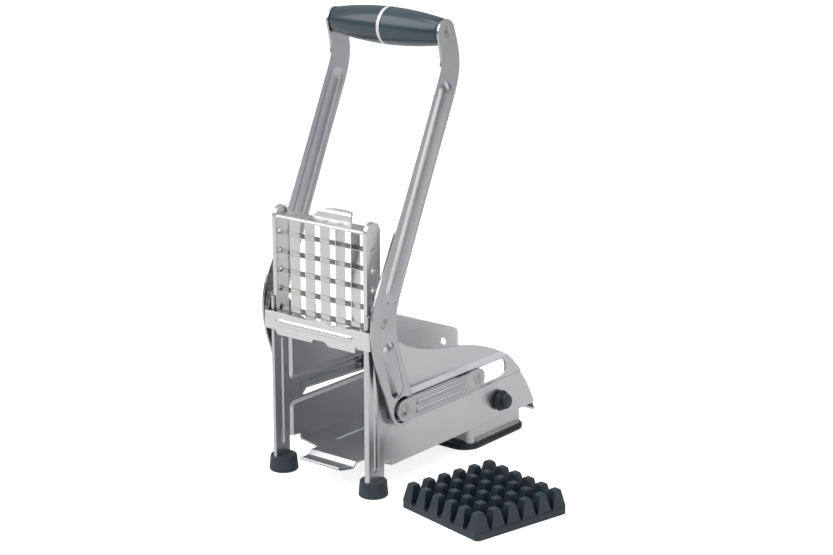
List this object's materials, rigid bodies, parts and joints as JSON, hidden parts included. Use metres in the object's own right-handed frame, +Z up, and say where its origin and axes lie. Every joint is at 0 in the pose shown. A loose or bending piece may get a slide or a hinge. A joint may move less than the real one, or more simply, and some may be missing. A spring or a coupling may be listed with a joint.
{
  "type": "french fry cutter",
  "caption": "Lever-operated potato chip cutter: pressed-steel trough on a vacuum foot, two-armed lever, pusher plate and a raised blade cartridge, with a loose peg stamp beside it",
  "frame": {"origin": "centre of the vacuum foot's underside, on the worktop", "axes": "X across the body towards the knob's side, Y from the blades towards the rear, Z up"},
  "size_m": [0.1929, 0.1911, 0.2894],
  "materials": {
    "body_steel": "satin brushed stainless sheet",
    "blade_steel": "bright polished stainless",
    "rivet_steel": "machined steel",
    "grip_plastic": "glossy slate blue",
    "ring_plastic": "glossy white",
    "foot_rubber": "moulded dark slate",
    "suction_rubber": "soft black",
    "knob_plastic": "moulded black",
    "bush_plastic": "natural nylon",
    "stamp_plastic": "moulded dark slate"
  },
  "bodies": {
    "body": {"side_frame_left": "body_steel", "side_frame_right": "body_steel", "tray_floor": "body_steel", "cross_band": "body_steel", "pivot_spacers": "rivet_steel", "lever_pivot_rivets": "rivet_steel", "foot_left": "foot_rubber", "foot_right": "foot_rubber", "suction_housing": "body_steel", "housing_rivets": "rivet_steel", "suction_base": "suction_rubber", "loose_stamp": "stamp_plastic"},
    "lever": {"lever_arm_left": "body_steel", "lever_arm_right": "body_steel", "crank_rivets": "rivet_steel", "grip_half_left": "grip_plastic", "grip_half_right": "grip_plastic", "grip_ring": "ring_plastic", "grip_rod": "rivet_steel", "grip_screws": "rivet_steel"},
    "links": {"link_left": "body_steel", "link_right": "body_steel", "link_rear_rivets": "rivet_steel"},
    "pusher": {"pusher_plate": "body_steel", "pusher_axle": "rivet_steel", "axle_bushes": "bush_plastic"},
    "cartridge": {"cartridge_side_left": "blade_steel", "cartridge_side_right": "blade_steel", "cartridge_top_bar": "blade_steel", "cartridge_bottom_bar": "blade_steel", "vertical_blades": "blade_steel", "horizontal_blades": "blade_steel"},
    "knob": {"vacuum_knob": "knob_plastic", "vacuum_shaft": "rivet_steel", "shaft_clips": "rivet_steel"},
    "stud": {"suction_stud": "rivet_steel"}
  },
  "joints": [
    {"name": "lever_swing", "type": "hinge", "parent": "body", "child": "lever", "pos_m": [0, -0.1263, 0.1102], "axis": [-1, 0, 0], "range_deg": [0, 75]},
    {"name": "link_swing", "type": "hinge", "parent": "lever", "child": "links", "pos_m": [0, -0.1082, 0.0512], "axis": [-1, 0, 0], "range_deg": [-56, 0]},
    {"name": "pusher_slide", "type": "slide", "parent": "body", "child": "pusher", "axis": [0, -1, 0], "range_m": [0, 0.0756]},
    {"name": "cartridge_slide", "type": "slide", "parent": "body", "child": "cartridge", "axis": [0, 0, -1], "range_m": [0, 0.0765]},
    {"name": "knob_turn", "type": "hinge", "parent": "body", "child": "knob", "pos_m": [0, 0, 0.0269], "axis": [1, 0, 0], "range_deg": [0, 180]},
    {"name": "stud_lift", "type": "slide", "parent": "body", "child": "stud", "axis": [0, 0, 1], "range_m": [0, 0.003]}
  ],
  "couplings": [
    {"joint": "link_swing", "follows": "lever_swing", "ratio": -0.7448},
    {"joint": "pusher_slide", "follows": "lever_swing", "m_per_rad": 0.05768},
    {"joint": "stud_lift", "follows": "knob_turn", "m_per_rad": 0.000955}
  ]
}
